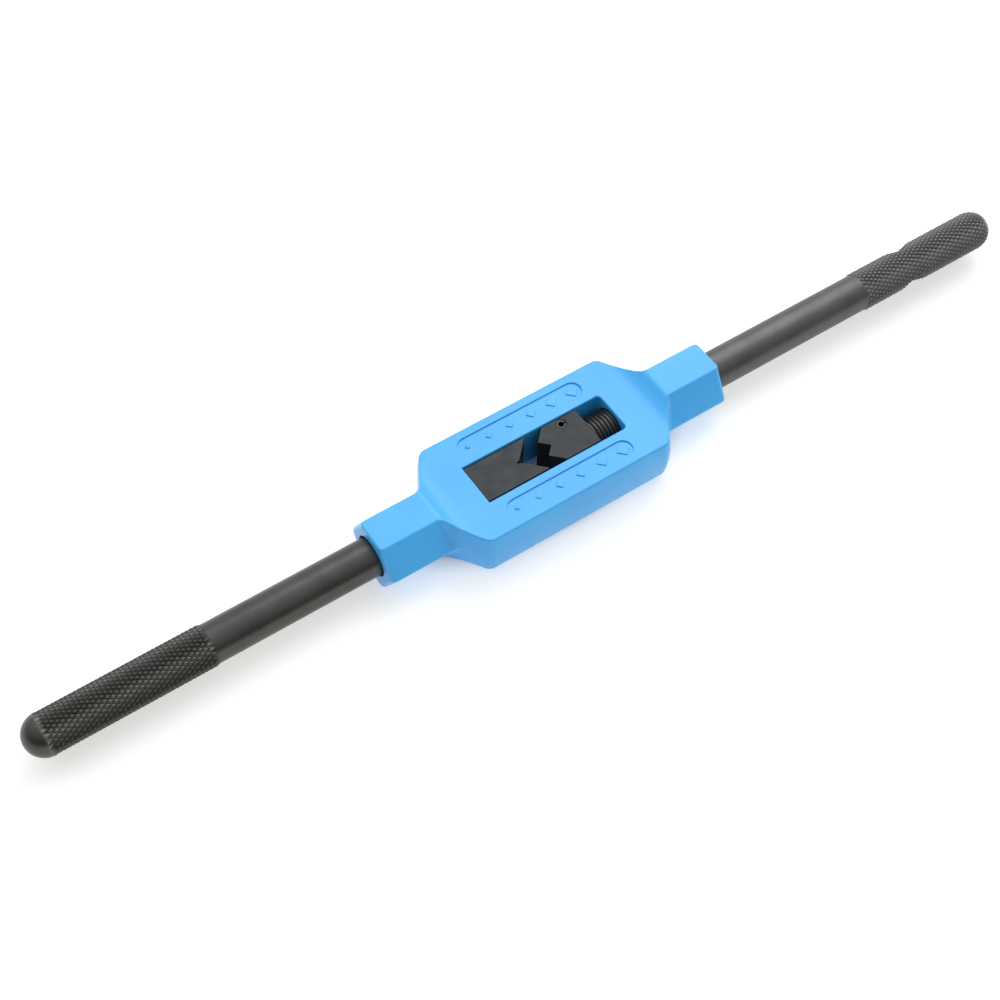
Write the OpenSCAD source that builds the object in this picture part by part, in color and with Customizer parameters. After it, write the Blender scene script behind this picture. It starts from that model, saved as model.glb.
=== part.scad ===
// Adjustable tap wrench: a die-cast body with two hexagonal necks, a fixed and
// a sliding jaw in its window, and two round steel handles. The handles lie
// along X with the adjusting handle toward +X, the tap stands along Z between
// the jaws, and the tool rests on its neck flats at z = 0.

/* [Overall] */
// Length over both handle ends, with the jaws as stored
overall_l = 280; // [240:1:340]
// Distance of the body's centre from the tool's middle, toward the fixed handle
body_shift = 3.75; // [0:0.25:8]

/* [Body] */
// Length of the body over both neck ends
body_l = 97.6; // [88:0.2:120]
// Length of the block's straight sides
block_l = 51.6; // [46:0.2:64]
// Width of the block across its upper and lower edges
block_w = 30.6; // [26:0.1:40]
// Thickness of the block
block_h = 12.2; // [11.6:0.1:14.6]
// Width of the hexagonal necks across their flats
neck_af = 16; // [15.4:0.1:20]
// Angle of the block's end slopes from the handle axis
slope_angle = 58; // [50:1:68]
// Radius of the block's four outer corners
corner_r = 2.5; // [0.5:0.5:4]
// Swell of the block's sides from their edges to mid-height
side_swell = 0.6; // [0.1:0.1:1.2]
// Rounding along the block's long edges
edge_r = 0.4; // [0.2:0.1:1.5]
// Length over which the block's faces sweep up to the neck flats
sweep_l = 5.3; // [2:0.1:6]
// Distance from the crease at the neck flat to the inner end of the end slopes
crease_inset = 0.1; // [0.1:0.1:1.5]

/* [Window] */
// Length of the window
window_l = 39.6; // [33:0.1:44]
// Corner radius at the adjusting end of the window
window_r = 1; // [0.2:0.1:2]

/* [Size pads] */
// Width of the round-ended recesses beside the window
pad_w = 4.9; // [3:0.1:5.5]
// Distance between the end centres of each recess
pad_l = 30.4; // [20:0.2:36]
// Depth of the recesses
pad_d = 0.4; // [0.2:0.1:0.8]
// Number of raised squares in each recess
mark_count = 6; // [2:1:8]
// Diagonal of the smallest raised square
mark_min = 1.5; // [1:0.1:2]
// Diagonal of the largest raised square
mark_max = 3.7; // [2:0.1:4]
// Height of the raised squares above the recess floor
mark_h = 0.25; // [0.1:0.05:0.4]

/* [Jaws] */
// Width of both jaws
jaw_w = 10.8; // [9:0.1:13]
// Depth of the jaws below the block's faces
jaw_recess = 0.3; // [0.1:0.1:1]
// Gap between a jaw's side and the window
jaw_side_gap = 0.35; // [0.1:0.05:0.6]
// Length of the fixed jaw
fixed_jaw_l = 17.3; // [14:0.1:20]
// Width of the flat land beside the fixed jaw's V
v_land = 0.25; // [0.1:0.05:1]
// Diameter of the relief hole at the bottom of the V
v_relief_d = 0.7; // [0.4:0.1:1.2]
// Gap between the jaws' shoulders, as stored
jaw_gap = 5.1; // [2:0.1:7]
// Length of the sliding jaw behind its shoulders
jaw_l = 9.9; // [8.6:0.1:12]
// Depth of the right-angled notch between the sliding jaw's teeth
notch_d = 2.2; // [1:0.1:3]
// Width of the flat land on each tooth's tip
tip_land = 0.15; // [0.05:0.05:0.6]

/* [Jaw pin] */
// Outer diameter of the slotted spring pin
pin_d = 2.5; // [1.5:0.1:2.8]
// Wall of the spring pin
pin_t = 0.55; // [0.3:0.05:0.7]
// Width of the slot along the spring pin
pin_slot = 0.4; // [0.2:0.1:0.8]
// Distance of the pin's ends below the jaw's faces
pin_recess = 0.2; // [0:0.1:1]
// Wall between the pin and the jaw's side
pin_wall = 0.3; // [0.2:0.05:0.8]
// Distance of the pin behind the jaw's shoulders
pin_back = 4.75; // [4.2:0.05:6]

/* [Adjusting spindle] */
// Outside diameter of the spindle's thread
thread_d = 10; // [8:0.5:11]
// Length of the thread from the sliding jaw's back
thread_l = 28; // [22:0.5:34]
// Length of the threaded hole from the window
nut_l = 15.5; // [8:0.5:20]
// Diameter of the spindle's nose in the jaw
nose_d = 7.6; // [6.4:0.1:8.4]
// Length of the nose beyond the pin's groove
nose_tip = 0.75; // [0.4:0.05:1.5]
// Gap between the nose and the bottom of the jaw's bore
nose_end_gap = 0.2; // [0.1:0.05:0.5]

/* [Handles] */
// Diameter of the handles' plain part
rod_d = 9.8; // [8:0.1:11.8]
// Height of the knurl above the plain part
knurl_h = 0.35; // [0.2:0.05:0.8]
// Length of the knurled part, up to the round end
knurl_l = 40; // [30:1:60]
// Diameter of the fixed handle's nose in the fixed jaw
stub_d = 7; // [5:0.5:8.5]
// Length of the fixed handle's nose
stub_l = 7.5; // [4:0.5:9]
// Diameter of the cross hole for a tommy bar
cross_d = 5; // [3:0.5:6]
// Distance of the cross hole from the handle's end
cross_back = 28; // [16:1:34]
// Tilt of the cross hole's axis from level, as stored
cross_tilt = 27; // [0:1:90]
// Distance from the handle's axis at which the hole's mouths open out
cross_mouth = 3.7; // [3.3:0.1:4]

/* [Fits] */
// Radial gap of the turning and sliding fits
run_gap = 0.05; // [0.02:0.01:0.1]
// Radial gap of the pressed-in pieces
seat_gap = 0.01; // [0.005:0.005:0.03]
// Radial gap round the handles in the neck mouths
mouth_gap = 0.4; // [0.2:0.05:0.6]
// Depth of the neck mouth round the fixed handle
mouth_l = 5; // [2:0.5:12]
// Gap between faces that meet end to end
face_gap = 0.05; // [0.02:0.01:0.1]

/* [Hidden] */
$fn = 64;
// margin by which a cutter runs past what it cuts
past = 1;
// segments in a quarter of a rounded outline and in the sweep
arc_n = 6;
// facets from a long side to an end slope
corner_n = 4;
// segments in a handle's round end
dome_n = 14;

axis_z = neck_af / 2;
body_x = -body_shift;
window_w = max(jaw_w, thread_d) + 2 * jaw_side_gap;
window_x0 = body_x - window_l / 2;
window_x1 = body_x + window_l / 2;
jaw_h = block_h - 2 * jaw_recess;

// the necks' hexagon, seen along the handle axis
neck_flat = axis_z / sqrt(3);
neck_vertex = 2 * neck_flat;

// the end slopes meet the necks' flats here, measured from the body's centre
slope_x = block_l / 2 + (block_w / 2 - neck_flat) / tan(slope_angle);
crease_x = slope_x - crease_inset;
sweep_rise = axis_z - block_h / 2;

// centre of a corner's rounding
corner_x = block_l / 2 - corner_r * tan(slope_angle / 2);
corner_y = block_w / 2 - corner_r;
sweep_r = (sweep_l * sweep_l + sweep_rise * sweep_rise) / (2 * sweep_rise);

pad_y = (window_w + block_w) / 4;

// shoulder planes of the two jaws
fixed_x = window_x0 + fixed_jaw_l;
move_x = fixed_x + jaw_gap;
back_x = move_x + jaw_l;
v_half = jaw_w / 2 - v_land;
tip_y = notch_d + tip_land;
tooth_l = jaw_w / 2 - tip_y;

pin_x = move_x + pin_back;
pin_y = jaw_w / 2 - pin_wall - pin_d / 2;
pin_l = jaw_h - 2 * pin_recess;

nose_r = nose_d / 2;
groove_r = pin_y - pin_d / 2 - run_gap;
groove_half = pin_d / 2 + run_gap;
nose_x = pin_x - groove_half - nose_tip;
shoulder_x = back_x + face_gap;
thread_x = shoulder_x + thread_l;
nut_x = window_x1 + nut_l;
mouth_r = rod_d / 2 + mouth_gap;
moving_mouth_r = max(rod_d, thread_d) / 2 + mouth_gap;

end_x = overall_l / 2;
knurl_r = rod_d / 2 + knurl_h;
dome_x = end_x - knurl_r;
knurl_x = dome_x - knurl_l;
cross_x = end_x - cross_back;

// points of an arc about (cx, cy) from angle a0 to a1
function arc(cx, cy, r, a0, a1, n) =
    [for (i = [0:n]) let (a = a0 + (a1 - a0) * i / n) [cx + r * cos(a), cy + r * sin(a)]];

// a list of points turned back to front and mirrored across the first axis
function flipped(p) = [for (i = [len(p) - 1:-1:0]) [p[i][0], -p[i][1]]];

// the same across the second axis
function swapped(p) = [for (i = [len(p) - 1:-1:0]) [-p[i][0], p[i][1]]];

// the sweep from the block's upper face to the neck's flat, at the +X end
function sweep_line() = [
    for (i = [0:arc_n])
    let (x = sweep_l * i / arc_n)
    [crease_x - sweep_l + x, block_h / 2 + sweep_r - sqrt(sweep_r * sweep_r - x * x)]
];

// distance from the body's centre to the side whose wall stands at an angle from the handle axis
function side_reach(angle) = corner_x * sin(abs(angle)) + corner_y * cos(angle) + corner_r;

// section of the block across one pair of opposite sides, with swollen walls
module side_section(half, edge) {
    straight = block_h / 2 - edge;
    wall = [for (i = [0:arc_n - 1]) let (share = i / arc_n)
        [half + side_swell * (1 - share * share), straight * share]];
    rim = edge > 0 ? arc(half - edge, straight, edge, 0, 90, arc_n) : [[half, straight]];
    quarter = concat(wall, rim, [[half - edge, axis_z + past]]);
    upper = concat(quarter, swapped(quarter));
    polygon(concat(upper, flipped(upper)));
}

// the block: long sides, end slopes and the facets of the rounded corners between them
module block() {
    length = 4 * block_l;
    intersection() {
        intersection_for (i = [-corner_n:corner_n]) {
            angle = slope_angle * i / corner_n;
            rotate([0, 0, angle])
                along_x(length)
                    side_section(side_reach(angle), abs(i) == corner_n ? 0 : edge_r);
        }
        cube([2 * slope_x + crease_inset, length, 2 * (axis_z + past)], center = true);
    }
}

// the neck's section, open above so that the side profile sets its flats
module neck_section() {
    tall = axis_z + past;
    narrow = neck_vertex - tall / sqrt(3);
    polygon([
        [neck_vertex, 0], [narrow, tall], [-narrow, tall],
        [-neck_vertex, 0], [-narrow, -tall], [narrow, -tall]
    ]);
}

// the body seen from the side
module side_profile() {
    right = concat([[body_l / 2, axis_z]], [for (i = [arc_n:-1:0]) sweep_line()[i]]);
    upper = concat(right, swapped(right));
    polygon(concat(upper, flipped(upper)));
}

module along_x(length) {
    rotate([90, 0, 90])
        linear_extrude(height = length, center = true)
            children();
}

module along_z(length) {
    linear_extrude(height = length, center = true)
        children();
}

// a round bar or bore along the handle axis, from x0 to x1
module round_x(x0, x1, r) {
    translate([x0, 0, axis_z])
        rotate([0, 90, 0])
            cylinder(h = x1 - x0, r = r);
}

module window_outline() {
    right = arc(window_x1 - window_r, window_w / 2 - window_r, window_r, 0, 90, arc_n);
    upper = concat(right, [[window_x0, window_w / 2]]);
    polygon(concat(upper, flipped(upper)));
}

module pad_outline() {
    half = pad_l / 2;
    right = arc(half, 0, pad_w / 2, -90, 90, 2 * arc_n);
    polygon(concat(right, arc(-half, 0, pad_w / 2, 90, 270, 2 * arc_n)));
}

// squares that grow from the smallest to the largest size the jaws hold
module size_marks(height) {
    for (i = [0:mark_count - 1]) {
        diagonal = mark_min + (mark_max - mark_min) * i / (mark_count - 1);
        x = pad_l * (i / (mark_count - 1) - 0.5);
        translate([x, 0, 0])
            rotate([0, 0, 45])
                linear_extrude(height = height)
                    square(diagonal / sqrt(2), center = true);
    }
}

module body_shell() {
    intersection() {
        union() {
            block();
            along_x(body_l + 2 * past) neck_section();
        }
        rotate([90, 0, 0])
            along_z(block_w + 2 * (side_swell + past)) side_profile();
    }
}

module body_bores() {
    fixed_mouth = body_x - body_l / 2;
    moving_mouth = body_x + body_l / 2;
    round_x(fixed_mouth - past, fixed_mouth + mouth_l, mouth_r);
    round_x(fixed_mouth, window_x0 + past, rod_d / 2 + seat_gap);
    round_x(window_x1 - past, nut_x + past, thread_d / 2 + run_gap);
    round_x(nut_x, moving_mouth + past, moving_mouth_r);
}

module body() {
    color([0.25, 0.62, 0.95])
    union() {
        difference() {
            translate([body_x, 0, axis_z]) body_shell();
            translate([0, 0, axis_z]) along_z(neck_af + 2 * past) window_outline();
            body_bores();
            for (side = [-1, 1])
                for (face = [-1, 1])
                    translate([body_x, side * pad_y, axis_z + face * block_h / 2])
                        along_z(2 * pad_d) pad_outline();
        }
        for (side = [-1, 1])
            translate([body_x, side * pad_y, axis_z + block_h / 2 - pad_d - mark_h])
                size_marks(2 * mark_h);
    }
}

module fixed_jaw() {
    half = jaw_w / 2;
    color([0.2, 0.22, 0.23])
    difference() {
        translate([0, 0, axis_z])
            along_z(jaw_h)
                polygon([
                    [window_x0 + face_gap, -half], [fixed_x, -half], [fixed_x, -v_half],
                    [fixed_x - v_half, 0],
                    [fixed_x, v_half], [fixed_x, half], [window_x0 + face_gap, half]
                ]);
        translate([fixed_x - v_half, 0, axis_z])
            cylinder(h = jaw_h + 2 * past, d = v_relief_d, center = true);
        round_x(window_x0 - past, window_x0 + stub_l + 4 * face_gap, stub_d / 2 + seat_gap);
    }
}

module movable_jaw() {
    half = jaw_w / 2;
    tooth_x = move_x - tooth_l;
    color([0.2, 0.22, 0.23])
    difference() {
        translate([0, 0, axis_z])
            along_z(jaw_h)
                polygon([
                    [move_x, -half], [back_x, -half], [back_x, half], [move_x, half],
                    [tooth_x, tip_y], [tooth_x, notch_d],
                    [tooth_x + notch_d, 0],
                    [tooth_x, -notch_d], [tooth_x, -tip_y]
                ]);
        round_x(nose_x - nose_end_gap, back_x + past, nose_r + run_gap);
        translate([pin_x, pin_y, axis_z])
            cylinder(h = jaw_h + 2 * past, d = pin_d + 2 * seat_gap, center = true);
    }
}

module jaw_pin() {
    color([0.25, 0.26, 0.27])
    translate([pin_x, pin_y, axis_z])
        difference() {
            cylinder(h = pin_l, d = pin_d, center = true);
            cylinder(h = pin_l + 2 * past, d = pin_d - 2 * pin_t, center = true);
            translate([pin_d / 2, 0, 0])
                cube([pin_d, pin_slot, pin_l + 2 * past], center = true);
        }
}

// outline of a handle's knurled end, for a handle whose tip is at end_x
function grip_line() = concat(
    [
        [rod_d / 2, knurl_x],
        [knurl_r, knurl_x + knurl_h]
    ],
    [for (i = [0:dome_n - 1]) let (a = 90 * i / dome_n)
        [knurl_r * cos(a), dome_x + knurl_r * sin(a)]],
    [[0, end_x]]
);

// turns an outline of [radius, distance] points about the handle axis
module turned(outline) {
    translate([0, 0, axis_z])
        rotate([0, 90, 0])
            rotate_extrude()
                polygon(outline);
}

module fixed_handle() {
    nose_end = window_x0 + stub_l;
    color([0.22, 0.23, 0.23])
    mirror([1, 0, 0])
        turned(concat(
            [[0, -nose_end], [stub_d / 2, -nose_end], [stub_d / 2, -window_x0], [rod_d / 2, -window_x0]],
            grip_line()
        ));
}

module adjusting_handle() {
    color([0.22, 0.23, 0.23])
    difference() {
        turned(concat(
            [
                [0, nose_x], [nose_r, nose_x],
                [nose_r, pin_x - groove_half], [groove_r, pin_x - groove_half],
                [groove_r, pin_x + groove_half], [nose_r, pin_x + groove_half],
                [nose_r, shoulder_x], [thread_d / 2, shoulder_x],
                [thread_d / 2, thread_x], [rod_d / 2, thread_x]
            ],
            grip_line()
        ));
        translate([cross_x, 0, axis_z])
            rotate([cross_tilt - 90, 0, 0]) {
                cylinder(h = 4 * knurl_r, d = cross_d, center = true);
                for (side = [0, 180])
                    rotate([side, 0, 0])
                        translate([0, 0, cross_mouth])
                            cylinder(h = knurl_r, r1 = cross_d / 2, r2 = cross_d / 2 + knurl_r);
            }
    }
}

body();
fixed_jaw();
movable_jaw();
jaw_pin();
fixed_handle();
adjusting_handle();
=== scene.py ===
import math

import bmesh
import bpy
from mathutils import Matrix, Vector


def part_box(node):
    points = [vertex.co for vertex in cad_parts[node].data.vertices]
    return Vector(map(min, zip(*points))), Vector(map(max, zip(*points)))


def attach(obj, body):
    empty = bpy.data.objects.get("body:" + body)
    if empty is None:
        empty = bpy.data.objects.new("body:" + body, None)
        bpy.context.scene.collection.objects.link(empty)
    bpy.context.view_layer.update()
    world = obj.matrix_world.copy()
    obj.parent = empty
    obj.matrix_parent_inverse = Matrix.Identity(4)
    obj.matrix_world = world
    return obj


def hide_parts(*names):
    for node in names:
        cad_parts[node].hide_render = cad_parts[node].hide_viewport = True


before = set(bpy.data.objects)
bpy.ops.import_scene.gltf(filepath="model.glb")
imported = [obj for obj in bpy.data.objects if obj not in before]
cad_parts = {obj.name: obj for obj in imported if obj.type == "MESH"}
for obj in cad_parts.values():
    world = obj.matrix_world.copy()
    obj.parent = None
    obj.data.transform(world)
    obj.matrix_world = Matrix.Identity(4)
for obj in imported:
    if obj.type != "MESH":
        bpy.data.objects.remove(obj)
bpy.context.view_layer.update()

mm = 0.001
weld = 0.001 * mm          # corners nearer than this are one
hair = 0.01                # slack where places are compared, in millimetres
faceOn = 0.9               # least share of a normal along an axis that its face looks along
edgeOn = 0.1               # most share of a normal along an axis that its face lies beside
past = 1                   # how far a cutter reaches past what it cuts, in millimetres
postHeight = 20            # of upright cutters, more than any piece is high

bodyLow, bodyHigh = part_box("body")
bodyMid = (bodyLow + bodyHigh) / 2
bodyEnd = (bodyHigh.x - bodyLow.x) / mm / 2      # half the body's length, in millimetres
axisZ = bodyMid.z          # height of the handle axis


def toObjectMode():
    if bpy.context.mode != "OBJECT":
        bpy.ops.object.mode_set(mode="OBJECT")


def takeUp(piece):
    # makes one object the only selected one
    toObjectMode()
    bpy.ops.object.select_all(action="DESELECT")
    bpy.context.view_layer.objects.active = piece
    piece.select_set(True)


def applyPlace(piece):
    takeUp(piece)
    bpy.ops.object.transform_apply(location=True, rotation=True, scale=True)


def named(name):
    piece = bpy.context.object
    piece.name = name
    piece.data.name = name
    applyPlace(piece)
    return piece


def edit(piece, kind):
    # edit mode with nothing selected, in vertex, edge or face mode
    if bpy.context.mode == "OBJECT":
        takeUp(piece)
        bpy.ops.object.mode_set(mode="EDIT")
    bpy.ops.mesh.select_mode(type=kind)
    bpy.ops.mesh.select_all(action="DESELECT")


def pick(piece, kind, test):
    # selects what the test says, and returns how many
    edit(piece, kind)
    mesh = bmesh.from_edit_mesh(piece.data)
    mesh.normal_update()
    group = {"VERT": mesh.verts, "EDGE": mesh.edges, "FACE": mesh.faces}[kind]
    chosen = [item for item in group if test(item)]
    for item in chosen:
        item.select_set(True)
    mesh.select_flush_mode()
    bmesh.update_edit_mesh(piece.data)
    return len(chosen)


def middle(item):
    # centre of an edge or face, in millimetres
    points = [v.co for v in item.verts]
    return sum(points, Vector()) / len(points) / mm


def normalsOf(edge):
    return [face.normal for face in edge.link_faces]


def upShares(edge):
    # how far the faces beside an edge look up or down, the flatter lying first
    return sorted(abs(normal.z) for normal in normalsOf(edge))


def near(a, b, gap=0.02):
    return abs(a - b) < gap


def drawOut(x, y=0, z=0):
    # extrudes what is selected, by millimetres
    bpy.ops.mesh.extrude_region_move(TRANSFORM_OT_translate={"value": (x * mm, y * mm, z * mm)})


def modify(piece, kind, **settings):
    # adds a modifier and applies it
    takeUp(piece)
    bpy.ops.object.modifier_add(type=kind)
    modifier = piece.modifiers[-1]
    for key, value in settings.items():
        setattr(modifier, key, value)
    bpy.ops.object.modifier_apply(modifier=modifier.name)


def combine(piece, tool, operation):
    modify(piece, "BOOLEAN", object=tool, operation=operation, solver="EXACT")
    bpy.data.objects.remove(tool)


def joinAll(pieces):
    takeUp(pieces[0])
    for piece in pieces[1:]:
        piece.select_set(True)
    bpy.ops.object.join()
    return pieces[0]


def finishMesh(piece, angle=30, weighted=True):
    # smooth where faces meet at less than the angle, flat faces kept flat
    edit(piece, "FACE")
    bpy.ops.mesh.select_all(action="SELECT")
    bpy.ops.mesh.normals_make_consistent(inside=False)
    takeUp(piece)
    bpy.ops.object.shade_smooth_by_angle(angle=math.radians(angle))
    if weighted:
        modify(piece, "WEIGHTED_NORMAL", mode="FACE_AREA", keep_sharp=True)
    print("made", piece.name, len(piece.data.polygons), "faces")


def addBlock(name, size, centre):
    # box of a size in millimetres, centred on a point in metres
    bpy.ops.mesh.primitive_cube_add(size=mm, location=centre)
    bpy.context.object.scale = size
    return named(name)


def addBar(name, radius, x0, x1, sides=64):
    # round bar along the handle axis, in millimetres
    bpy.ops.mesh.primitive_cylinder_add(
        vertices=sides, radius=radius * mm, depth=(x1 - x0) * mm,
        location=((x0 + x1) / 2 * mm, 0, axisZ), rotation=(0, math.pi / 2, 0))
    return named(name)


def addPost(name, radius, centre, sides=32):
    # upright round cutter
    bpy.ops.mesh.primitive_cylinder_add(
        vertices=sides, radius=radius * mm, depth=postHeight * mm, location=centre)
    return named(name)


def linear(hexColour):
    # sRGB hex to linear
    parts = [int(hexColour[i:i + 2], 16) / 255 for i in (1, 3, 5)]
    return [c / 12.92 if c <= 0.04045 else ((c + 0.055) / 1.055) ** 2.4 for c in parts] + [1]


def addNode(tree, kind, inputs=None, **settings):
    node = tree.nodes.new(kind)
    for key, value in settings.items():
        setattr(node, key, value)
    for key, value in (inputs or {}).items():
        if isinstance(value, bpy.types.NodeSocket):
            tree.links.new(value, node.inputs[key])
        else:
            node.inputs[key].default_value = value
    return node


def startMaterial(name, **shader):
    material = bpy.data.materials.new(name)
    material.use_nodes = True
    tree = material.node_tree
    surface = tree.nodes["Principled BSDF"]
    for key, value in shader.items():
        surface.inputs[key].default_value = value
    place = addNode(tree, "ShaderNodeTexCoord").outputs["Object"]
    return material, tree, surface, place


def paint(piece, material):
    piece.data.materials.clear()
    piece.data.materials.append(material)


bodySize = {
    "blockLength": 51.6,
    "blockWidth": 30.6,      # across the upper and lower edges
    "sideSwell": 0.6,        # of the side walls, at mid-height
    "swellRings": 3,
    "blockHeight": 12.2,
    "neckAcross": 16,
    "slopeAngle": 58,        # end slopes, from the handle axis
    "sweepStart": 27.04,     # where the faces begin to sweep up to the necks
    "sweepSteps": 4,
    "cornerRadius": 2.5,
    "edgeRound": 0.4,
    "neckRound": 0.4,
    "endRound": 0.45,
    "creaseRound": 0.9,
    "filletRound": 1.3,      # where necks run into the end slopes
    "windowLength": 39.6,
    "windowWidth": 11.5,
    "windowCorner": 1.0,
    "rimRound": 0.4,
    "padWidth": 4.9,
    "padLength": 30.4,
    "padDepth": 0.4,
    "padY": 10.52,
    "padRound": 0.2,
    "markCount": 6,
    "markMin": 1.5,
    "markMax": 3.7,
    "markHeight": 0.25,
    "markRound": 0.12,
    "fixedBore": 4.91,
    "threadBore": 5.05,
    "mouthRadius": 5.3,
    "counterbore": 5.35,
    "mouthDepth": 5,
    "mouthRound": 0.3,
    "nutLength": 15.5,       # threaded part of the neck
    "smoothAngle": 28,       # faces at less than this shade as one
}


def atBody(x, y=0.0, z=0.0):
    # a point in metres, from millimetres off the body's centre
    return (bodyMid.x + x * mm, bodyMid.y + y * mm, bodyMid.z + z * mm)


def spot(item):
    # place of a corner, or of the centre of an edge or face, in millimetres off the body's centre
    if isinstance(item, bmesh.types.BMVert):
        return item.co / mm - bodyMid / mm
    return middle(item) - bodyMid / mm


def makeShell(s):
    halfL, halfW, halfH = s["blockLength"] / 2, s["blockWidth"] / 2, s["blockHeight"] / 2
    neckTop = s["neckAcross"] / 2
    neckFlat = neckTop / math.sqrt(3)
    slope = math.tan(math.radians(s["slopeAngle"]))
    slopeLength = (halfW - neckFlat) / slope
    slopeEnd = halfL + slopeLength
    shell = addBlock("dieCastBody", (s["blockLength"], s["blockWidth"], s["blockHeight"]), atBody(0))

    for side in (-1, 1):
        # end slopes: the end face drawn out and narrowed to the neck's flat
        pick(shell, "FACE", lambda f: f.normal.x * side > faceOn)
        drawOut(side * slopeLength)
        bpy.ops.transform.resize(value=(1, neckFlat / halfW, 1), center_override=atBody(0))

        # cuts across the upper and lower faces, lifted to the sweep's arc
        steps = s["sweepSteps"]
        run = slopeEnd - s["sweepStart"]
        rise = neckTop - halfH
        radius = (run * run + rise * rise) / (2 * rise)
        for i in range(steps):
            x = side * (s["sweepStart"] + run * i / steps)
            pick(shell, "FACE", lambda f: abs(f.normal.z) > faceOn and spot(f).x * side > halfL)
            bpy.ops.mesh.bisect(plane_co=atBody(x), plane_no=(1, 0, 0), threshold=weld)
        for i in range(1, steps + 1):
            x = run * i / steps
            lift = radius - math.sqrt(radius * radius - x * x)
            for up in (-1, 1):
                pick(shell, "VERT", lambda v: near(spot(v).x * side, s["sweepStart"] + x)
                     and spot(v).z * up > halfH / 2)
                bpy.ops.transform.translate(value=(0, 0, up * lift * mm))

        # the neck: hexagon drawn out of the end face, its middle corners set back into the slopes
        pick(shell, "EDGE", lambda e: near(spot(e).x * side, slopeEnd) and near(spot(e).z, 0)
             and abs(spot(e).y) > neckFlat / 2)
        bpy.ops.mesh.subdivide(number_cuts=1)
        for hand in (-1, 1):
            pick(shell, "VERT", lambda v: near(spot(v).x * side, slopeEnd)
                 and near(spot(v).z, 0) and spot(v).y * hand > neckFlat / 2)
            bpy.ops.transform.translate(value=(-side * neckFlat / slope * mm, hand * neckFlat * mm, 0))
        pick(shell, "FACE", lambda f: f.normal.x * side > faceOn and spot(f).x * side > halfL)
        drawOut(side * (bodyEnd - slopeEnd))
        bpy.ops.transform.resize(value=(0, 1, 1), center_override=atBody(side * bodyEnd))

    # round outer corners
    turn = math.radians(s["slopeAngle"]) / 2
    pick(shell, "EDGE", lambda e: near(abs(spot(e).x), halfL) and near(abs(spot(e).y), halfW))
    bpy.ops.mesh.bevel(offset=s["cornerRadius"] * math.tan(turn) * mm, segments=8, affect="EDGES")

    # side walls swollen between their edges: level rings pushed out, the outermost pair first
    rings = s["swellRings"]
    for i in range(1 - rings, rings):
        pick(shell, "FACE", lambda f: abs(f.normal.z) < edgeOn and abs(spot(f).x) < slopeEnd)
        bpy.ops.mesh.bisect(plane_co=atBody(0, 0, halfH * i / rings), plane_no=(0, 0, 1), threshold=weld)

    slack = 0.05    # for places that were worked out, in millimetres

    def onNeck(v):
        point = spot(v)
        return near(abs(point.y), 2 * neckFlat - abs(point.z) / math.sqrt(3), slack)

    pushed = 0
    for i in range(rings - 1, -1, -1):
        push = s["sideSwell"] * (1 - (i / rings) ** 2) - pushed
        pushed += push

        def inRing(v):
            return abs(spot(v).z) < halfH * i / rings + slack

        pick(shell, "VERT", lambda v: inRing(v) and not onNeck(v) and abs(spot(v).x) < slopeEnd)
        bpy.ops.transform.shrink_fatten(value=push * mm, use_even_offset=True)
        shift = push / math.sin(math.radians(s["slopeAngle"]))
        for side in (-1, 1):
            pick(shell, "VERT", lambda v: inRing(v) and onNeck(v)
                 and 0 < spot(v).x * side < slopeEnd + past)
            bpy.ops.transform.translate(value=(side * shift * mm, 0, 0))

    # rounding of each kind of edge, as a share of the widest
    widest = s["filletRound"]

    wallUp, faceUp = 0.25, 0.6    # most that a wall looks up, and least that a broad face does
    neckUp, hexUp = 0.5, 0.3      # what the neck's slanting flats look up, and least for any of its edges
    neckStart = slopeEnd - 1.5    # edges past this are the neck's, in millimetres

    def isBlockEdge(e):
        low, high = upShares(e)
        return low < wallUp and high > faceUp and abs(spot(e).x) < slopeEnd

    def isNeckEdge(e):
        level = all(abs(n.x) < edgeOn / 2 for n in normalsOf(e))
        return level and abs(spot(e).x) > neckStart and upShares(e)[0] > hexUp

    def isFillet(e):
        low, high = upShares(e)
        return low < wallUp and near(high, neckUp, slack)

    def isCrease(e):
        return near(abs(spot(e).x), slopeEnd) and near(spot(e).y, 0) and upShares(e)[0] > neckUp

    def isEnd(e):
        return near(abs(spot(e).x), bodyEnd)

    for test, width in ((isBlockEdge, s["edgeRound"]), (isNeckEdge, s["neckRound"]), (isFillet, widest),
                        (isCrease, s["creaseRound"]), (isEnd, s["endRound"])):
        count = pick(shell, "EDGE", test)
        bpy.ops.transform.edge_bevelweight(value=width / widest)
        print("rounding", count, "edges by", width)
    toObjectMode()
    modify(shell, "BEVEL", width=widest * mm, segments=4, limit_method="WEIGHT",
           miter_outer="MITER_ARC", use_clamp_overlap=True)
    return shell


def slotTool(name, length, width, height, centre, corner, hand=None):
    # block with rounded upright corners, all of them or those at one end
    tool = addBlock(name, (length, width, height), centre)
    pick(tool, "EDGE", lambda e: near(abs(normalsOf(e)[0].z), 0) and near(abs(normalsOf(e)[1].z), 0)
         and (hand is None or (middle(e).x - centre[0] / mm) * hand > 0))
    bpy.ops.mesh.bevel(offset=corner * mm, segments=10, affect="EDGES")
    toObjectMode()
    return tool


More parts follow.
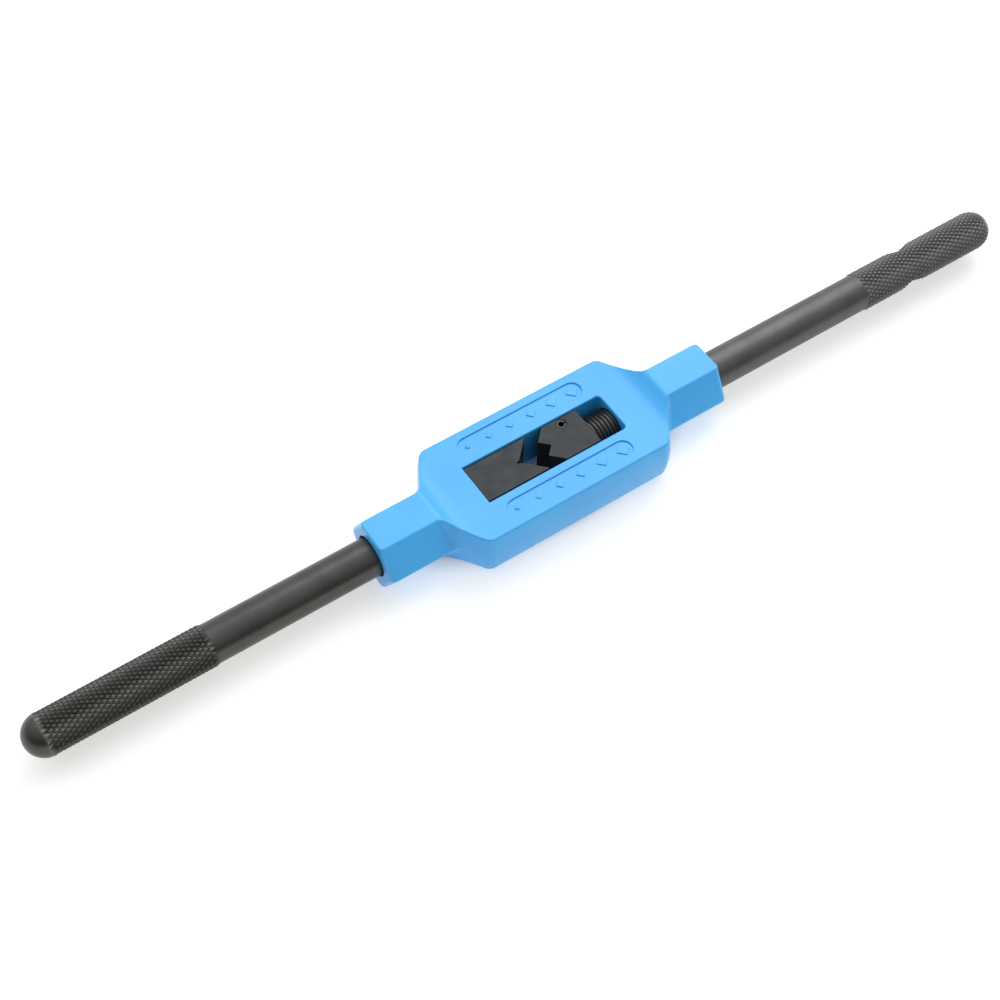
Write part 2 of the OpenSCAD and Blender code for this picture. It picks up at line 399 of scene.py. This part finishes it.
def makeBody(s):
    shell = makeShell(s)
    halfH = s["blockHeight"] / 2
    halfWindow = s["windowLength"] / 2
    midX = bodyMid.x / mm
    margin = 0.1    # round what is picked, in millimetres

    window = slotTool("windowTool", s["windowLength"], s["windowWidth"], 2 * halfH + 2 * past, atBody(0),
                      s["windowCorner"], hand=1)
    combine(shell, window, "DIFFERENCE")
    padSpan = s["padLength"] + s["padWidth"]
    padCorner = s["padWidth"] / 2 - 0.002    # just short of half, so that the ends keep a flat
    pads = [slotTool("padTool", padSpan, s["padWidth"], 2 * s["padDepth"],
                     atBody(0, hand * s["padY"], up * halfH), padCorner)
            for hand in (-1, 1) for up in (-1, 1)]
    for tool in pads:
        combine(shell, tool, "DIFFERENCE")

    # rims of the window and of the pads, where a wall meets the upper or lower face
    def rim(lowY, highY):
        def test(e):
            if len(e.link_faces) != 2:
                return False
            low, high = upShares(e)
            inside = lowY < abs(spot(e).y) < highY and abs(spot(e).x) < halfWindow + past / 2
            return low < 2 * edgeOn and high > faceOn and near(abs(spot(e).z), halfH) and inside
        return test

    halfSlot = s["windowWidth"] / 2
    padOut = s["padY"] + s["padWidth"] / 2
    for lowY, highY, width in ((-1, halfSlot, s["rimRound"]), (halfSlot + past, padOut, s["padRound"])):
        pick(shell, "EDGE", rim(lowY, highY + margin))
        bpy.ops.mesh.bevel(offset=width * mm, segments=3, affect="EDGES")
    toObjectMode()

    # raised squares, growing with the size that the jaws hold
    marks = []
    top = halfH - s["padDepth"] + s["markHeight"]
    floor = top - s["markHeight"]
    for hand in (-1, 1):
        for i in range(s["markCount"]):
            share = i / (s["markCount"] - 1)
            diagonal = s["markMin"] + (s["markMax"] - s["markMin"]) * share
            x = s["padLength"] * (share - 0.5)
            bpy.ops.mesh.primitive_cylinder_add(
                vertices=4, radius=diagonal / 2 * mm, depth=2 * s["markHeight"] * mm,
                location=atBody(x, hand * s["padY"], floor))
            mark = named("mark")
            pick(mark, "EDGE", lambda e: spot(e).z > top - 2 * hair or near(spot(e).z, floor))
            bpy.ops.mesh.bevel(offset=s["markRound"] * mm, segments=2, affect="EDGES")
            toObjectMode()
            marks.append(mark)
    combine(shell, joinAll(marks), "UNION")

    # bores and neck mouths
    start, end = midX - bodyEnd, midX + bodyEnd
    for name, radius, x0, x1 in (
            ("fixedBore", s["fixedBore"], start - past, midX - halfWindow + past),
            ("fixedMouth", s["mouthRadius"], start - past, start + s["mouthDepth"]),
            ("threadBore", s["threadBore"], midX + halfWindow - past, end + past),
            ("movingMouth", s["counterbore"], midX + halfWindow + s["nutLength"], end + past)):
        combine(shell, addBar(name, radius, x0, x1), "DIFFERENCE")

    def isMouth(e):
        if len(e.link_faces) != 2 or not near(abs(spot(e).x), bodyEnd):
            return False
        offAxis = math.hypot(spot(e).y, spot(e).z)
        return offAxis < s["counterbore"] + margin and min(abs(n.x) for n in normalsOf(e)) < 3 * edgeOn

    pick(shell, "EDGE", isMouth)
    bpy.ops.mesh.bevel(offset=s["mouthRound"] * mm, segments=3, affect="EDGES")
    toObjectMode()
    finishMesh(shell, s["smoothAngle"])
    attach(shell, "housing")
    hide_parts("body")
    return shell


jawSize = {
    "width": 10.8,
    "vLand": 0.25,           # flat beside the fixed jaw's V
    "reliefRadius": 0.35,
    "stubRadius": 3.51,
    "stubDepth": 7.7,
    "notch": 2.2,
    "tipLand": 0.15,
    "noseRadius": 3.85,
    "noseDepth": 7.4,
    "pinBore": 1.26,
    "pinChamfer": 0.22,
    "edgeBreak": 0.1,
}


def breakEdges(piece, width, segments=2, angle=30):
    modify(piece, "BEVEL", width=width * mm, segments=segments, limit_method="ANGLE",
           angle_limit=math.radians(angle))


def makeFixedJaw(s):
    low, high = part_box("fixed_jaw")
    centre = (low + high) / 2
    jaw = addBlock("fixedJaw", (high - low) / mm, centre)
    half = s["width"] / 2 - s["vLand"]
    for y in (-half, 0, half):
        pick(jaw, "FACE", lambda f: True)
        bpy.ops.mesh.bisect(plane_co=(0, y * mm, 0), plane_no=(0, 1, 0), threshold=weld)
    pick(jaw, "VERT", lambda v: near(v.co.y, 0, hair * mm) and v.co.x > centre.x)
    bpy.ops.transform.translate(value=(-half * mm, 0, 0))
    toObjectMode()
    apex = high.x / mm - half
    relief = addPost("relief", s["reliefRadius"], (apex * mm, 0, centre.z), sides=24)
    combine(jaw, relief, "DIFFERENCE")
    start = low.x / mm
    stubBore = addBar("stubBore", s["stubRadius"], start - past, start + s["stubDepth"], sides=48)
    combine(jaw, stubBore, "DIFFERENCE")
    breakEdges(jaw, s["edgeBreak"])
    finishMesh(jaw)
    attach(jaw, "housing")
    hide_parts("fixed_jaw")
    return jaw


def makeMovableJaw(s):
    low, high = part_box("movable_jaw")
    pinLow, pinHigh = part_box("jaw_pin")
    pin = (pinLow + pinHigh) / 2
    tip = s["notch"] + s["tipLand"]
    toothLength = s["width"] / 2 - tip
    shoulder = low.x / mm + toothLength
    size = (high - low) / mm
    back = high.x / mm
    front = (shoulder + 10 * hair) * mm    # just behind the shoulders
    jaw = addBlock("movableJaw", (back - shoulder, size.y, size.z), ((shoulder + back) / 2 * mm, 0, axisZ))
    for y in (-tip, -s["notch"], 0, s["notch"], tip):
        pick(jaw, "FACE", lambda f: True)
        bpy.ops.mesh.bisect(plane_co=(0, y * mm, 0), plane_no=(0, 1, 0), threshold=weld)
    pick(jaw, "VERT", lambda v: abs(v.co.y) < (tip + hair) * mm and v.co.x < front)
    bpy.ops.transform.translate(value=(-toothLength * mm, 0, 0))
    pick(jaw, "VERT", lambda v: near(v.co.y, 0, hair * mm) and v.co.x < front)
    bpy.ops.transform.translate(value=(s["notch"] * mm, 0, 0))
    toObjectMode()
    noseBore = addBar("noseBore", s["noseRadius"], back - s["noseDepth"], back + past, sides=48)
    combine(jaw, noseBore, "DIFFERENCE")
    combine(jaw, addPost("pinBore", s["pinBore"], pin), "DIFFERENCE")

    def onPinRim(v):
        offPin = math.hypot(v.co.x - pin.x, v.co.y - pin.y) / mm
        return offPin < s["pinBore"] + 2 * hair and near(abs(v.co.z - axisZ) / mm, size.z / 2)

    pick(jaw, "EDGE", lambda e: all(onPinRim(v) for v in e.verts))
    bpy.ops.mesh.bevel(offset=s["pinChamfer"] * mm, segments=1, affect="EDGES")
    toObjectMode()
    breakEdges(jaw, s["edgeBreak"])
    finishMesh(jaw)
    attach(jaw, "sliding_jaw")
    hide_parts("movable_jaw")
    return jaw


pinSize = {
    "wall": 0.55,
    "slot": 0.4,
    "sides": 44,
    "endRound": 0.15,
    "endAngle": 50,          # edges sharper than this are rounded
    "smoothAngle": 35,
}


def makePin(s):
    # spring pin: sheet rolled to a tube that stays open along one side
    low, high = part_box("jaw_pin")
    centre = (low + high) / 2
    radius = (high.y - low.y) / 2
    bpy.ops.mesh.primitive_cylinder_add(vertices=s["sides"], radius=radius, depth=high.z - low.z,
                                        location=centre, end_fill_type="NOTHING")
    pin = named("rollPin")
    pick(pin, "FACE", lambda f: abs(f.calc_center_median().y - centre.y) < s["slot"] / 2 * mm
         and f.calc_center_median().x > centre.x)
    bpy.ops.mesh.delete(type="FACE")
    toObjectMode()
    modify(pin, "SOLIDIFY", thickness=s["wall"] * mm, offset=-1, use_even_offset=True)
    breakEdges(pin, s["endRound"], segments=3, angle=s["endAngle"])
    finishMesh(pin, s["smoothAngle"])
    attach(pin, "sliding_jaw")
    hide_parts("jaw_pin")
    return pin


handleSize = {
    "rodRadius": 4.9,
    "gripRadius": 5.25,
    "knurlStarts": 27,       # grooves round the bar, each way
    "knurlRows": 38,         # half grooves along the bar
    "knurlLength": 40,
    "knurlFlat": 0.2,        # small flat left on each diamond
    "domeKnurlRows": 3,      # further rows, on the adjusting handle's round end
    "knurledCapRows": 4,
    "plainCapRows": 12,
    "smoothAngle": 24,
    "stubRadius": 3.5,
    "stubEnd": -16.05,       # x of the stub's end
    "seatEnd": -23.55,       # and of its shoulder
}

spindleSize = {
    "noseRadius": 3.8,
    "grooveRadius": 2.55,
    "grooveStart": 2.3,
    "grooveEnd": 4.9,
    "threadStart": 8.8,
    "threadEnd": 36.8,
    "threadRadius": 5.0,
    "threadPitch": 1.0,
    "threadRoot": 4.35,
    "threadAngle": 30,       # of each flank
    "threadSteps": 54,       # round one turn
    "threadOverlap": 0.5,    # of the thread with the plain bar, at each end
    "crestShare": 0.08,      # width of a crest's flat, in pitches
    "crossRadius": 2.5,
    "crossX": 112,
    "crossTilt": 27,         # from level
    "crossMouth": 3.7,       # off the axis, where the hole begins to open
}


def turnBar(name, steps, sides):
    # a bar turned about the handle axis, drawn out step by step from (x, radius) pairs
    x, radius = steps[0]
    bpy.ops.mesh.primitive_circle_add(vertices=sides, radius=radius * mm, fill_type="NGON",
                                      location=(x * mm, 0, axisZ), rotation=(0, math.pi / 2, 0))
    bar = named(name)
    pick(bar, "FACE", lambda f: True)
    for nextX, nextRadius in steps[1:]:
        drawOut(nextX - x)
        share = nextRadius / radius
        if nextRadius > 0 and share != 1:
            bpy.ops.transform.resize(value=(1, share, share), center_override=(nextX * mm, 0, axisZ))
        if nextRadius == 0:
            bpy.ops.mesh.merge(type="CENTER")
        x, radius = nextX, nextRadius
    toObjectMode()
    return bar


def gripSteps(s, hand, endX, domeKnurl):
    # plain bar, knurl rows and round end, toward +X or -X
    grip = s["gripRadius"]
    domeX = endX - grip
    rowStep = s["knurlLength"] / s["knurlRows"]
    start = domeX - s["knurlLength"]
    steps = [(start, s["rodRadius"])]
    steps += [(start + rowStep * i, grip) for i in range(1, s["knurlRows"] + 1)]
    angle = 0.0
    for i in range(s["domeKnurlRows"] if domeKnurl else 0):
        angle += rowStep / grip * math.cos(angle)
        steps.append((domeX + grip * math.sin(angle), grip * math.cos(angle)))
    rest = s["knurledCapRows"] if domeKnurl else s["plainCapRows"]
    first = angle
    for i in range(1, rest + 1):
        angle = first + (math.pi / 2 - first) * i / rest
        steps.append((domeX + grip * math.sin(angle), grip * math.cos(angle) if i < rest else 0))
    return [(hand * x, r) for x, r in steps], start, domeX


def cutKnurl(bar, s, hand, start, domeX, domeKnurl):
    # pushes every other corner in to make grooves both ways round the bar
    columns = 2 * s["knurlStarts"]
    grip = s["gripRadius"]
    rowStep = s["knurlLength"] / s["knurlRows"]
    depth = grip - s["rodRadius"]

    domeAngles = [0.0]
    for i in range(s["domeKnurlRows"]):
        domeAngles.append(domeAngles[-1] + rowStep / grip * math.cos(domeAngles[-1]))

    def place(v):
        # row and column of a corner, and None off the knurl
        x = v.co.x / mm * hand
        column = round(math.atan2(v.co.z - axisZ, v.co.y) / (2 * math.pi / columns))
        if x < start + rowStep / 2:
            return None
        if x < domeX + hair:
            return round((x - start) / rowStep), column
        angle = math.asin(min(1, (x - domeX) / grip))
        for i, known in enumerate(domeAngles):
            if domeKnurl and near(known, angle, hair):
                return s["knurlRows"] + i, column
        return None

    def inGroove(v):
        found = place(v)
        return found is not None and (found[0] + found[1]) % 2 == 0

    share = s["rodRadius"] / grip
    pick(bar, "VERT", lambda v: inGroove(v) and v.co.x / mm * hand < domeX + hair)
    bpy.ops.transform.resize(value=(1, share, share), center_override=(0, 0, axisZ))
    knurlEnd = domeX
    if domeKnurl:
        for i in range(1, s["domeKnurlRows"] + 1):
            level = 1 - depth / grip * math.cos(domeAngles[i])
            pick(bar, "VERT", lambda v: inGroove(v) and place(v)[0] == s["knurlRows"] + i)
            bpy.ops.transform.resize(value=(level, level, level),
                                     center_override=(hand * domeX * mm, 0, axisZ))
        knurlEnd = domeX + grip * math.sin(domeAngles[-1])
    pick(bar, "FACE", lambda f: all(start - hair < v.co.x / mm * hand < knurlEnd + hair for v in f.verts))
    bpy.ops.mesh.quads_convert_to_tris(quad_method="SHORTEST_DIAGONAL", ngon_method="BEAUTY")

    # a corner that stands proud of the grooves is a diamond's top, and gets a small flat
    def isTop(v):
        offAxis = Vector((0, v.co.y, v.co.z - axisZ)).length / mm
        return start + rowStep / 2 < v.co.x / mm * hand < domeX - hair and offAxis > grip - 5 * hair

    pick(bar, "VERT", isTop)
    bpy.ops.mesh.bevel(offset=s["knurlFlat"] * mm, affect="VERTICES")
    toObjectMode()


def makeFixedHandle(s):
    low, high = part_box("fixed_handle")
    steps, start, domeX = gripSteps(s, -1, -low.x / mm, False)
    stub = [(s["stubEnd"], s["stubRadius"]), (s["seatEnd"], s["stubRadius"]),
            (s["seatEnd"], s["rodRadius"])]
    bar = turnBar("fixedHandle", stub + steps, 2 * s["knurlStarts"])
    cutKnurl(bar, s, -1, start, domeX, False)
    finishMesh(bar, s["smoothAngle"], weighted=False)
    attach(bar, "housing")
    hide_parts("fixed_handle")
    return bar


def makeThread(s):
    # one pitch of the profile, screwed along the axis, then cut square at both ends
    pitch, crest, root = s["threadPitch"], s["threadRadius"], s["threadRoot"]
    turns = math.ceil((s["threadEnd"] - s["threadStart"]) / pitch) + 2
    begin = s["threadStart"] - pitch
    flank = (crest - root) * math.tan(math.radians(s["threadAngle"]))
    crestFlat = pitch * s["crestShare"]
    rootFlat = pitch - crestFlat - 2 * flank
    profile = [(0, root), (rootFlat, root), (rootFlat + flank, crest),
               (rootFlat + flank + crestFlat, crest), (pitch, root)]
    bpy.ops.mesh.primitive_plane_add(size=mm, location=(begin * mm, 0, axisZ))
    thread = bpy.context.object
    pick(thread, "VERT", lambda v: True)
    bpy.ops.mesh.merge(type="CENTER")
    bpy.ops.transform.translate(value=(0, 0, root * mm))
    for a, b in zip(profile, profile[1:]):
        bpy.ops.mesh.extrude_vertices_move(
            TRANSFORM_OT_translate={"value": ((b[0] - a[0]) * mm, 0, (b[1] - a[1]) * mm)})
    toObjectMode()
    modify(thread, "SCREW", axis="X", angle=2 * math.pi, screw_offset=pitch * mm, iterations=turns,
           steps=s["threadSteps"], render_steps=s["threadSteps"], use_merge_vertices=False)
    thread = named("thread")
    pick(thread, "VERT", lambda v: True)
    bpy.ops.mesh.remove_doubles(threshold=weld)
    for x, inner, outer in ((s["threadStart"], True, False), (s["threadEnd"], False, True)):
        pick(thread, "FACE", lambda f: True)
        bpy.ops.mesh.bisect(plane_co=(x * mm, 0, 0), plane_no=(1, 0, 0), use_fill=True,
                            clear_inner=inner, clear_outer=outer, threshold=weld)
    pick(thread, "FACE", lambda f: True)
    bpy.ops.mesh.normals_make_consistent(inside=False)
    toObjectMode()
    return thread


def makeAdjustingHandle(s, g):
    low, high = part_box("adjusting_handle")
    steps, start, domeX = gripSteps(s, 1, high.x / mm, True)
    core = g["threadRoot"] - 0.05    # a little inside the thread's root
    threadFrom = g["threadStart"] + g["threadOverlap"]
    threadTo = g["threadEnd"] - g["threadOverlap"]
    nose = [(low.x / mm, g["noseRadius"]),
            (g["grooveStart"], g["noseRadius"]), (g["grooveStart"], g["grooveRadius"]),
            (g["grooveEnd"], g["grooveRadius"]), (g["grooveEnd"], g["noseRadius"]),
            (threadFrom, g["noseRadius"]), (threadFrom, core),
            (threadTo, core), (threadTo, s["rodRadius"])]
    bar = turnBar("adjustingHandle", nose + steps, 2 * s["knurlStarts"])
    cutKnurl(bar, s, 1, start, domeX, True)

    # cross hole with opened mouths
    tilt = math.radians(90 - g["crossTilt"])
    centre = (g["crossX"] * mm, 0, axisZ)
    bpy.ops.mesh.primitive_cylinder_add(
        vertices=48, radius=g["crossRadius"] * mm, depth=2 * g["crossMouth"] * mm, location=centre)
    drill = named("drill")
    grow = s["gripRadius"]
    for up in (-1, 1):
        pick(drill, "FACE", lambda f: f.normal.z * up > faceOn)
        drawOut(0, 0, up * grow)
        share = (g["crossRadius"] + grow) / g["crossRadius"]
        bpy.ops.transform.resize(value=(share, share, 1), center_override=centre)
    pick(drill, "VERT", lambda v: True)
    bpy.ops.transform.rotate(value=tilt, orient_axis="X", center_override=centre)
    toObjectMode()
    combine(bar, drill, "DIFFERENCE")
    combine(bar, makeThread(g), "UNION")
    finishMesh(bar, s["smoothAngle"], weighted=False)
    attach(bar, "spindle")
    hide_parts("adjusting_handle")
    return bar


def powderCoat():
    # zinc casting under sprayed and baked polyester powder: smooth satin blue, faint orange peel
    drift, peelSize = 18, 0.9     # of the colour and of the bumps, in millimetres
    material, tree, surface, place = startMaterial("powder-coated zinc", Roughness=0.28, IOR=1.5)
    broad = addNode(tree, "ShaderNodeTexNoise", {"Vector": place, "Scale": 1 / (drift * mm), "Detail": 2})
    tint = addNode(tree, "ShaderNodeValToRGB", {"Fac": broad.outputs["Fac"]})
    tint.color_ramp.elements[0].position = 0.3
    tint.color_ramp.elements[0].color = linear("#3caef5")
    tint.color_ramp.elements[1].position = 0.7
    tint.color_ramp.elements[1].color = linear("#44b6fb")
    tree.links.new(tint.outputs["Color"], surface.inputs["Base Color"])
    peel = addNode(tree, "ShaderNodeTexNoise", {"Vector": place, "Scale": 1 / (peelSize * mm), "Detail": 3})
    bump = addNode(tree, "ShaderNodeBump", {
        "Height": peel.outputs["Fac"], "Strength": 0.25, "Distance": 0.02 * mm})
    tree.links.new(bump.outputs["Normal"], surface.inputs["Normal"])
    return material


def groundSteel():
    # hardened steel, surface ground and then blackened: matt charcoal with faint cloudy marks
    cloudSize, gritSize = 3.5, 2.2    # in millimetres, the grit drawn coarser than it is so that it shows
    material, tree, surface, place = startMaterial("blackened ground steel", Metallic=0.6, Roughness=0.5)
    cloud = addNode(tree, "ShaderNodeTexNoise", {
        "Vector": place, "Scale": 1 / (cloudSize * mm), "Detail": 5})
    tint = addNode(tree, "ShaderNodeValToRGB", {"Fac": cloud.outputs["Fac"]})
    tint.color_ramp.elements[0].position = 0.3
    tint.color_ramp.elements[0].color = linear("#2d3033")
    tint.color_ramp.elements[1].position = 0.75
    tint.color_ramp.elements[1].color = linear("#3b3e41")
    tree.links.new(tint.outputs["Color"], surface.inputs["Base Color"])
    lay = addNode(tree, "ShaderNodeMapping", {"Vector": place, "Scale": (1, 14, 14)})
    grit = addNode(tree, "ShaderNodeTexNoise", {
        "Vector": lay.outputs["Vector"], "Scale": 1 / (gritSize * mm), "Detail": 4})
    bump = addNode(tree, "ShaderNodeBump", {
        "Height": grit.outputs["Fac"], "Strength": 0.3, "Distance": 0.01 * mm})
    tree.links.new(bump.outputs["Normal"], surface.inputs["Normal"])
    return material


# the fixed handle's bar, darker than the adjusting handle's as painted shade, with oil in its grooves
oiledAndShadedOxide = {
    "name": "oiled black-oxide steel bar with painted shade",
    "roughness": 0.33,
    "dark": "#4a4a48",
    "pale": "#545351",
    "tops": "#8b867c",       # knurl tops, where the black has rubbed, with painted highlight
    "wearAndLight": 0.4,
    "oilAndShade": 0.35,             # how dark the knurl's grooves are: oil, and painted shade
    "tip": 0.0,              # how pale the round end is: bare from wear, and painted light
}

# the adjusting handle's bar, paler than the fixed handle's as painted light, with worn knurl tops and round
# end
rubbedAndLitOxide = {
    "name": "rubbed black-oxide steel bar with painted light",
    "roughness": 0.42,
    "dark": "#555656",
    "pale": "#606161",
    "tops": "#b9b9b6",
    "wearAndLight": 0.95,
    "oilAndShade": 0.05,
    "tip": 0.9,
}

grooveOilAndShade = "#272625"    # of the knurl's grooves: oil that stays in them, and painted shade

# where the oxide's tones change, in millimetres off the handle axis and then along it
oxideZones = {
    "topLow": 5.1,
    "topHigh": 5.24,
    "grooveHigh": 5.12,
    "grooveLow": 4.92,
    "knurlMiddle": 114.9,
    "knurlHalf": 19.9,
    "tipStart": 137.3,
    "tipFull": 138.6,
}


def oxideSteel(s, zones):
    # cold-drawn bar, knurled, then black oxide and oil: dark grey sheen
    # knurl tops paler from wear and painted highlight, grooves darker from oil and painted shade
    mottleSize = 5    # in millimetres
    mixed = 2         # which output of a Mix node is its colour
    material, tree, surface, place = startMaterial(s["name"], Metallic=0.85, Roughness=s["roughness"])
    mottle = addNode(tree, "ShaderNodeTexNoise", {
        "Vector": place, "Scale": 1 / (mottleSize * mm), "Detail": 6})
    tint = addNode(tree, "ShaderNodeValToRGB", {"Fac": mottle.outputs["Fac"]})
    tint.color_ramp.elements[0].position = 0.3
    tint.color_ramp.elements[0].color = linear(s["dark"])
    tint.color_ramp.elements[1].position = 0.75
    tint.color_ramp.elements[1].color = linear(s["pale"])
    axis = addNode(tree, "ShaderNodeMapping", {
        "Vector": place, "Location": (0, 0, -axisZ), "Scale": (0, 1, 1)})
    radius = addNode(tree, "ShaderNodeVectorMath", {0: axis.outputs["Vector"]}, operation="LENGTH")
    # knurl tops paled: wear, and painted highlight
    top = addNode(tree, "ShaderNodeMapRange", {
        "Value": radius.outputs["Value"],
        "From Min": zones["topLow"] * mm, "From Max": zones["topHigh"] * mm,
        "To Min": 0, "To Max": s["wearAndLight"]})
    # knurl grooves darkened: oil, and painted shade
    depth = addNode(tree, "ShaderNodeMapRange", {
        "Value": radius.outputs["Value"],
        "From Min": zones["grooveHigh"] * mm, "From Max": zones["grooveLow"] * mm,
        "To Min": 0, "To Max": s["oilAndShade"]})
    along = addNode(tree, "ShaderNodeSeparateXYZ", {"Vector": place})
    reach = addNode(tree, "ShaderNodeMath", {0: along.outputs["X"]}, operation="ABSOLUTE")
    knurled = addNode(tree, "ShaderNodeMath", {
        0: reach.outputs["Value"], 1: zones["knurlMiddle"] * mm, 2: zones["knurlHalf"] * mm},
        operation="COMPARE")
    # round end paled: wear, and painted light
    tip = addNode(tree, "ShaderNodeMapRange", {
        "Value": reach.outputs["Value"],
        "From Min": zones["tipStart"] * mm, "From Max": zones["tipFull"] * mm,
        "To Min": 0, "To Max": s["tip"]})
    groove = addNode(tree, "ShaderNodeMath", {0: depth.outputs["Result"], 1: knurled.outputs["Value"]},
                     operation="MULTIPLY")
    oiledAndShaded = addNode(tree, "ShaderNodeMix", {
        "Factor": groove.outputs["Value"], "A": tint.outputs["Color"], "B": linear(grooveOilAndShade)},
        data_type="RGBA")
    bareAndLit = addNode(tree, "ShaderNodeMath", {0: top.outputs["Result"], 1: tip.outputs["Result"]},
                   operation="MAXIMUM")
    wornAndLit = addNode(tree, "ShaderNodeMix", {
        "Factor": bareAndLit.outputs["Value"], "A": oiledAndShaded.outputs[mixed], "B": linear(s["tops"])},
        data_type="RGBA")
    tree.links.new(wornAndLit.outputs[mixed], surface.inputs["Base Color"])
    bump = addNode(tree, "ShaderNodeBump", {
        "Height": mottle.outputs["Fac"], "Strength": 0.2, "Distance": 0.02 * mm})
    tree.links.new(bump.outputs["Normal"], surface.inputs["Normal"])
    return material


def springSteel():
    # rolled spring strip, oil-blackened and rubbed: dark grey with a smooth gleam
    cloudSize = 0.8    # in millimetres
    material, tree, surface, place = startMaterial("rolled spring steel", Metallic=0.9, Roughness=0.35)
    cloud = addNode(tree, "ShaderNodeTexNoise", {
        "Vector": place, "Scale": 1 / (cloudSize * mm), "Detail": 4})
    tint = addNode(tree, "ShaderNodeValToRGB", {"Fac": cloud.outputs["Fac"]})
    tint.color_ramp.elements[0].color = linear("#3a3a38")
    tint.color_ramp.elements[1].color = linear("#53524f")
    tree.links.new(tint.outputs["Color"], surface.inputs["Base Color"])
    return material


cameraSize = {
    "aim": (-18.83, -3.28, 8.0),    # lengths in millimetres, angles in degrees
    "distance": 402.4,
    "azimuth": -35.74,
    "elevation": 55.47,
    "roll": 1.98,
    "lens": 61.2,
    "sensor": 36,
    "nearClip": 10,
}


def makeCamera(s):
    azimuth, elevation = math.radians(s["azimuth"]), math.radians(s["elevation"])
    back = Vector((math.sin(azimuth) * math.cos(elevation),
                   -math.cos(azimuth) * math.cos(elevation), math.sin(elevation)))
    bpy.ops.object.camera_add(location=(Vector(s["aim"]) + back * s["distance"]) * mm)
    camera = bpy.context.object
    camera.rotation_mode = "QUATERNION"
    turn = Matrix.Rotation(math.radians(s["roll"]), 3, "Z")
    camera.rotation_quaternion = ((-back).to_track_quat("-Z", "Y").to_matrix() @ turn).to_quaternion()
    camera.data.sensor_width = s["sensor"]
    camera.data.lens = s["lens"]
    camera.data.clip_start = s["nearClip"] * mm
    bpy.context.scene.camera = camera


floorSize = {
    "size": 6,               # in metres
    "drop": 0.05,            # below the lowest point, in millimetres
    "sheet": "#d9d8d7",
    "light": "#fffefb",
    "glow": 0.5,             # light the floor gives out itself, as a share of white
    "paintedShadeHalf": (36, 13),     # half length and half width of the painted shade under the body, where the glow is taken away
    "paintedShadeFade": (0.7, 1.25),  # where the painted shade begins and ends to fade, as shares of its size
}


def makeStage(s):
    # diffusing white sheet over a lit table, glow taken away under the body as painted shade: no seams,
    # faint shadows
    bpy.ops.mesh.primitive_plane_add(size=s["size"], location=(0, 0, -s["drop"] * mm))
    floor = named("floor")
    material, tree, surface, place = startMaterial("lit white acrylic", Roughness=0.9)
    surface.inputs["Base Color"].default_value = linear(s["sheet"])
    surface.inputs["Emission Color"].default_value = linear(s["light"])
    halfX, halfY = s["paintedShadeHalf"]
    spread = addNode(tree, "ShaderNodeMapping", {
        "Vector": place, "Location": (-bodyMid.x / (halfX * mm), -bodyMid.y / (halfY * mm), 0),
        "Scale": (1 / (halfX * mm), 1 / (halfY * mm), 0)})
    away = addNode(tree, "ShaderNodeVectorMath", {0: spread.outputs["Vector"]}, operation="LENGTH")
    # glow that fades out under the body: painted shade
    glow = addNode(tree, "ShaderNodeMapRange", {
        "Value": away.outputs["Value"], "From Min": s["paintedShadeFade"][0], "From Max": s["paintedShadeFade"][1],
        "To Min": 0, "To Max": s["glow"]}, interpolation_type="SMOOTHSTEP")
    tree.links.new(glow.outputs["Result"], surface.inputs["Emission Strength"])
    paint(floor, material)


def addLight(name, place, size, power):
    # square soft lamp that looks at the origin
    bpy.ops.object.light_add(type="AREA", location=place)
    light = bpy.context.object
    light.name = name
    light.data.shape = "SQUARE"
    light.data.size = size
    light.data.energy = power
    light.rotation_mode = "QUATERNION"
    light.rotation_quaternion = (-Vector(place)).to_track_quat("-Z", "Y")


lightSize = {
    "brightSide": (0.3, 0.5, 0.75),   # direction of the room's brightest part
    "roomColour": "#fdfeff",
    "roomShade": -0.3,                # how far off that direction the room is dimmest, as a cosine
    "roomLow": 0.1,
    "roomHigh": 1.25,
    "keyPlace": (0.5, 0.32, 0.7),
    "keySize": 0.7,
    "keyPower": 2.9,
}


def makeLight(s):
    # a white room that grows brighter toward one side, and one large soft lamp
    world = bpy.data.worlds.new("softRoom")
    world.use_nodes = True
    tree = world.node_tree
    bright = Vector(s["brightSide"]).normalized()
    place = addNode(tree, "ShaderNodeTexCoord").outputs["Generated"]
    facing = addNode(tree, "ShaderNodeVectorMath", {0: place, 1: bright}, operation="DOT_PRODUCT")
    level = addNode(tree, "ShaderNodeMapRange", {
        "Value": facing.outputs["Value"], "From Min": s["roomShade"], "From Max": 1,
        "To Min": s["roomLow"], "To Max": s["roomHigh"]})
    room = tree.nodes["Background"]
    room.inputs["Color"].default_value = linear(s["roomColour"])
    tree.links.new(level.outputs["Result"], room.inputs["Strength"])
    bpy.context.scene.world = world
    addLight("overhead", s["keyPlace"], s["keySize"], s["keyPower"])
    bpy.context.scene.view_settings.view_transform = "Standard"


makeCamera(cameraSize)
makeStage(floorSize)
makeLight(lightSize)
print("camera, floor and lights set")

jawSteel = groundSteel()
paint(makeBody(bodySize), powderCoat())
paint(makeFixedJaw(jawSize), jawSteel)
paint(makeMovableJaw(jawSize), jawSteel)
paint(makePin(pinSize), springSteel())
paint(makeFixedHandle(handleSize), oxideSteel(oiledAndShadedOxide, oxideZones))
paint(makeAdjustingHandle(handleSize, spindleSize), oxideSteel(rubbedAndLitOxide, oxideZones))
print("all pieces made and painted")
